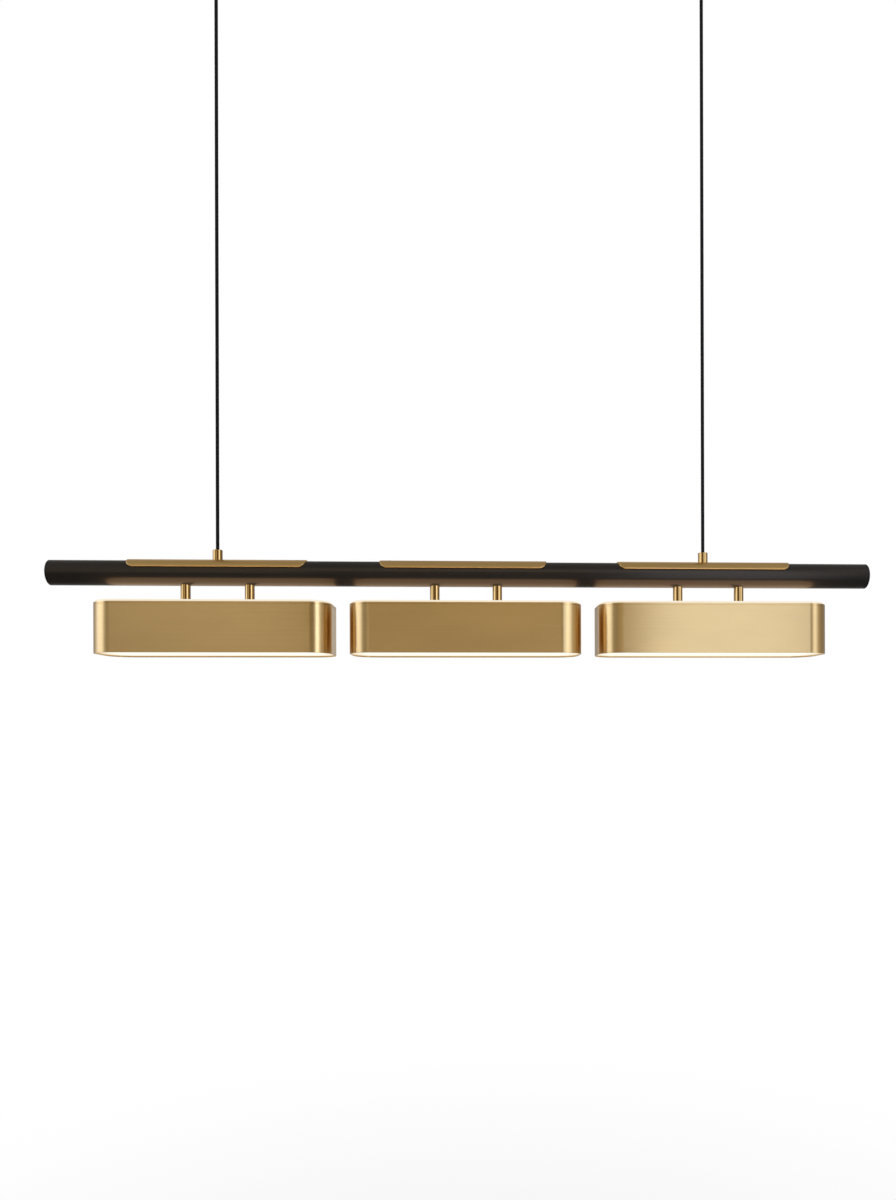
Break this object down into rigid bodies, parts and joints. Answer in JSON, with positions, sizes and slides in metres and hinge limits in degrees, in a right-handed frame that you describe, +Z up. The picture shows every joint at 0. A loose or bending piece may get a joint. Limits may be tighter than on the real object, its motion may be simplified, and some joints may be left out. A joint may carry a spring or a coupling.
{
  "type": "linear island pendant",
  "caption": "Linear island pendant: a satin black tube on taut cords carries brushed brass ring shades on short stems, with glowing opal diffusers above and below.",
  "frame": {"origin": "in the ceiling plane, at the centre of the four ceiling screw holes, midway between the two ceiling fittings", "axes": "+X runs along the bar, to the right seen from the front; +Y points away from the viewer; +Z is up"},
  "size_m": [1.2, 0.1018, 1.0517],
  "materials": {
    "black_metal": "satin black powder coat on steel",
    "brushed_brass": "brushed along the length, lacquered",
    "opal_acrylic": "opal acrylic, glowing warm white",
    "black_cord": "round black jacketed electric cord",
    "black_nylon": "moulded black nylon",
    "white_aluminium": "white coated aluminium",
    "light_board": "white printed board with yellow light chips",
    "zinc_plated_steel": "zinc plated",
    "white_plastic": "moulded white plastic"
  },
  "bodies": {
    "ceiling_fittings": {"ceiling_strap_left": "zinc_plated_steel", "ceiling_cup_left": "black_metal", "ceiling_cup_screws_left": "black_metal", "ceiling_terminal_block_left": "white_plastic", "cord_grip_left": "black_metal", "cord_grip_nut_left": "zinc_plated_steel", "ceiling_strap_right": "zinc_plated_steel", "ceiling_cup_right": "black_metal", "ceiling_cup_screws_right": "black_metal", "ceiling_terminal_block_right": "white_plastic", "cord_grip_right": "black_metal", "cord_grip_nut_right": "zinc_plated_steel"},
    "left_swivel": {"swivel_ball_left": "black_nylon"},
    "right_swivel": {"swivel_ball_right": "black_nylon"},
    "left_cord": {"cord_left": "black_cord"},
    "right_cord": {"cord_right": "black_cord"},
    "bar": {"cable_gland_nut_left": "zinc_plated_steel", "end_cap_left": "black_metal", "cable_gland_left": "brushed_brass", "cable_gland_nut_right": "zinc_plated_steel", "end_cap_right": "black_metal", "cable_gland_right": "brushed_brass", "main_tube": "black_metal", "saddle_plate_left": "brushed_brass", "shade_left": "brushed_brass", "stem_left_a": "brushed_brass", "stem_left_b": "brushed_brass", "light_box_left": "white_aluminium", "upper_diffuser_left": "opal_acrylic", "lower_diffuser_left": "opal_acrylic", "upper_light_board_left": "light_board", "lower_light_board_left": "light_board", "saddle_plate_centre": "brushed_brass", "shade_centre": "brushed_brass", "stem_centre_a": "brushed_brass", "stem_centre_b": "brushed_brass", "light_box_centre": "white_aluminium", "upper_diffuser_centre": "opal_acrylic", "lower_diffuser_centre": "opal_acrylic", "upper_light_board_centre": "light_board", "lower_light_board_centre": "light_board", "saddle_plate_right": "brushed_brass", "shade_right": "brushed_brass", "stem_right_a": "brushed_brass", "stem_right_b": "brushed_brass", "light_box_right": "white_aluminium", "upper_diffuser_right": "opal_acrylic", "lower_diffuser_right": "opal_acrylic", "upper_light_board_right": "light_board", "lower_light_board_right": "light_board", "saddle_plate_screws": "brushed_brass", "shade_screws": "brushed_brass", "stem_top_nuts": "zinc_plated_steel", "stem_foot_nuts": "zinc_plated_steel", "led_driver": "white_plastic", "wiring_block": "white_plastic"}
  },
  "joints": [
    {"name": "fore_aft_swing", "type": "hinge", "parent": "ceiling_fittings", "child": "left_swivel", "pos_m": [-0.357, 0, -0.043], "axis": [1, 0, 0], "range_deg": [-12, 12]},
    {"name": "right_fore_aft_swing", "type": "hinge", "parent": "ceiling_fittings", "child": "right_swivel", "pos_m": [0.357, 0, -0.043], "axis": [1, 0, 0], "range_deg": [-12, 12]},
    {"name": "left_cord_sway", "type": "hinge", "parent": "left_swivel", "child": "left_cord", "pos_m": [-0.357, 0, -0.043], "axis": [0, 1, 0], "range_deg": [-12, 12]},
    {"name": "bar_sway", "type": "hinge", "parent": "left_cord", "child": "bar", "pos_m": [-0.357, 0, -0.903], "axis": [0, 1, 0], "range_deg": [-12, 12]},
    {"name": "right_cord_sway", "type": "hinge", "parent": "right_swivel", "child": "right_cord", "pos_m": [0.357, 0, -0.043], "axis": [0, 1, 0], "range_deg": [-12, 12]}
  ],
  "couplings": [
    {"joint": "right_fore_aft_swing", "follows": "fore_aft_swing", "ratio": 1},
    {"joint": "left_cord_sway", "follows": "bar_sway", "ratio": -1},
    {"joint": "right_cord_sway", "follows": "bar_sway", "ratio": -1}
  ]
}
